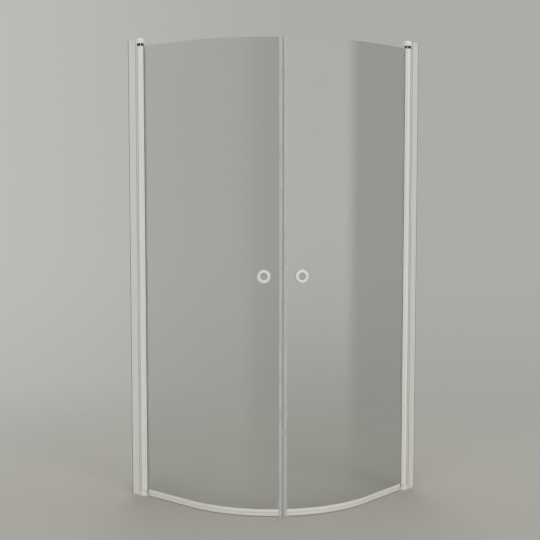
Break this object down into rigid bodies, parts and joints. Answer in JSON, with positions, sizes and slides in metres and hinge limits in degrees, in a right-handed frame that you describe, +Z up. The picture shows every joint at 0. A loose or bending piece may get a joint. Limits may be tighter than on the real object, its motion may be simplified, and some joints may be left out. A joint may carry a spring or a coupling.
{
  "type": "corner shower enclosure",
  "caption": "Corner shower enclosure with a rounded front: curved smoked glass doors on pivot posts between white wall profiles, with round knobs and magnetic centre seals.",
  "frame": {"origin": "middle of the square of floor that the enclosure and the room's corner bound, at floor level", "axes": "+Z up; the room's corner lies toward -X and +Y, with the left wall on the plane of lowest X and the right wall on the plane of highest Y; the rounded front faces +X and -Y"},
  "size_m": [0.9, 0.9, 2],
  "materials": {
    "white_profile": "satin off-white powder coat on extruded aluminium",
    "white_plastic": "moulded off-white",
    "pale_ring": "glossy off-white",
    "grey_cap": "light grey, satin",
    "smoked_glass": "grey tinted toughened glass",
    "clear_seal": "translucent soft vinyl",
    "pale_seal": "pale translucent soft vinyl",
    "grey_seal": "soft light grey vinyl",
    "black_seal": "soft black rubber",
    "black_plastic": "moulded black",
    "bright_steel": "ground stainless steel",
    "magnet_strip": "dark magnetic strip"
  },
  "bodies": {
    "frame": {"left_wall_seal": "black_seal", "left_wall_profile": "white_profile", "left_adjusting_profile": "white_profile", "left_nose_seal": "black_seal", "left_lock_screws": "bright_steel", "left_screw_caps": "white_plastic", "left_top_bracket": "white_profile", "left_foot_bracket": "white_profile", "left_top_pivot_pin": "bright_steel", "left_lower_pivot_pin": "bright_steel", "left_lift_stop_collar": "black_plastic", "right_wall_seal": "black_seal", "right_wall_profile": "white_profile", "right_adjusting_profile": "white_profile", "right_nose_seal": "black_seal", "right_lock_screws": "bright_steel", "right_screw_caps": "white_plastic", "right_top_bracket": "white_profile", "right_foot_bracket": "white_profile", "right_top_pivot_pin": "bright_steel", "right_lower_pivot_pin": "bright_steel", "right_lift_stop_collar": "black_plastic"},
    "left_door": {"left_door_post": "white_profile", "left_top_bush": "black_plastic", "left_lower_bush": "black_plastic", "left_glazing_gasket": "grey_seal", "left_door_glass": "smoked_glass", "left_bottom_rail": "white_profile", "left_bottom_seal": "pale_seal", "left_centre_seal": "clear_seal", "left_centre_magnet": "magnet_strip", "left_outer_knob": "pale_ring", "left_inner_knob": "pale_ring", "left_knob_cap": "grey_cap", "left_knob_screw": "bright_steel", "left_knob_sleeve": "clear_seal", "left_knob_washers": "clear_seal"},
    "right_door": {"right_door_post": "white_profile", "right_top_bush": "black_plastic", "right_lower_bush": "black_plastic", "right_glazing_gasket": "grey_seal", "right_door_glass": "smoked_glass", "right_bottom_rail": "white_profile", "right_bottom_seal": "pale_seal", "right_centre_seal": "clear_seal", "right_centre_magnet": "magnet_strip", "right_outer_knob": "pale_ring", "right_inner_knob": "pale_ring", "right_knob_cap": "grey_cap", "right_knob_screw": "bright_steel", "right_knob_sleeve": "clear_seal", "right_knob_washers": "clear_seal"}
  },
  "joints": [
    {"name": "left_door_hinge", "type": "hinge", "parent": "frame", "child": "left_door", "pos_m": [-0.392, -0.43, 1], "axis": [0, 0, -1], "range_deg": [0, 90]},
    {"name": "right_door_hinge", "type": "hinge", "parent": "frame", "child": "right_door", "pos_m": [0.43, 0.392, 1], "axis": [0, 0, 1], "range_deg": [0, 90]}
  ]
}
